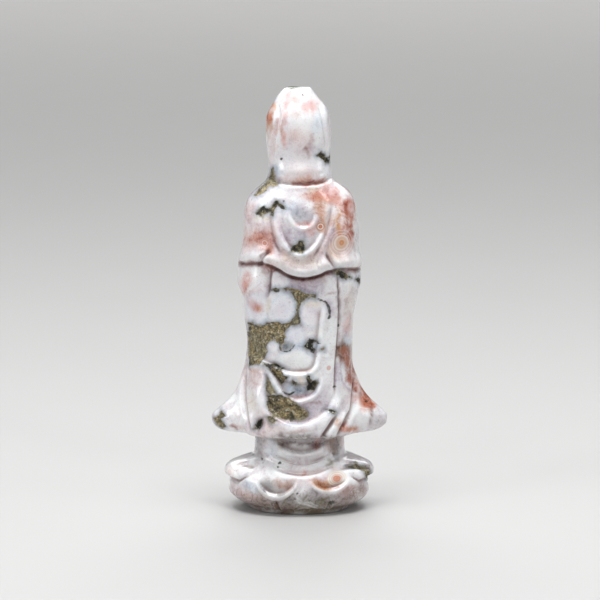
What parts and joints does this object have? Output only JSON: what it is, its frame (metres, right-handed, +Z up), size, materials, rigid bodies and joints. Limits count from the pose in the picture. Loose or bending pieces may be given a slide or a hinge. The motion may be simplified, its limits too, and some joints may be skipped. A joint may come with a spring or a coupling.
{
  "type": "guanyin statue",
  "caption": "Small standing Guanyin figure in hood and long robe on a double lotus base, carved in one from polished orbicular stone, for display.",
  "frame": {"origin": "middle of the flat underside of the lotus base", "axes": "+Z up along the figure, -Y the side of its back, +Y the side of its face, +X to the right when looking at its back"},
  "size_m": [0.0313, 0.0202, 0.075],
  "materials": {
    "jasper": "polished, mauve-pink and white chalcedony with orbs, rust stains and patches of dark rough druzy"
  },
  "bodies": {
    "root": {"guanyin_statue": "jasper"}
  },
  "joints": []
}
